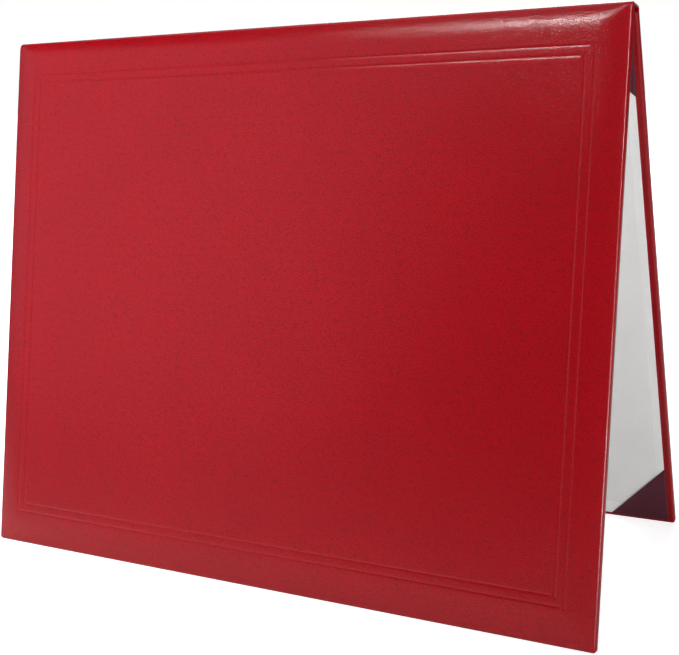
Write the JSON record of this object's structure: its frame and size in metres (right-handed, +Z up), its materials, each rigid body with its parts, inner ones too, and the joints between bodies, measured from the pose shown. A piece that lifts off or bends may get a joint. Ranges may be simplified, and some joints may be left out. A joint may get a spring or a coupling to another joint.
{
  "type": "padded diploma cover",
  "caption": "Padded red leatherette diploma cover standing open as a tent, with white lining, corner pockets, a clear sheet and a hinged spine strip.",
  "frame": {"origin": "centre of the footprint, on the surface that the two lower edges stand on", "axes": "+X along the ridge, to the right as seen from the padded front; +Y from the front cover to the back cover; +Z up"},
  "size_m": [0.292, 0.1276, 0.2299],
  "materials": {
    "leatherette": "fine pebble grain, satin, deep red",
    "greyboard": "matte grey pulp board",
    "foam": "soft open-cell foam",
    "lining_paper": "smooth white paper",
    "clear_film": "clear gloss film"
  },
  "bodies": {
    "back_cover": {"back_wrap": "leatherette", "back_board": "greyboard", "back_liner": "lining_paper", "clear_sheet": "clear_film", "pocket_top_left": "leatherette", "pocket_top_right": "leatherette", "pocket_bottom_left": "leatherette", "pocket_bottom_right": "leatherette"},
    "spine": {"spine_strip": "leatherette", "spine_lining": "leatherette"},
    "front_cover": {"front_wrap": "leatherette", "front_padding": "foam", "front_board": "greyboard", "front_liner": "lining_paper"}
  },
  "joints": [
    {"name": "back_fold", "type": "hinge", "parent": "back_cover", "child": "spine", "pos_m": [0, 0.00018, 0.22807], "axis": [-1, 0, 0], "range_deg": [-29.43, 60.56]},
    {"name": "front_fold", "type": "hinge", "parent": "spine", "child": "front_cover", "pos_m": [0, -0.00769, 0.23], "axis": [-1, 0, 0], "range_deg": [0, 90]}
  ]
}
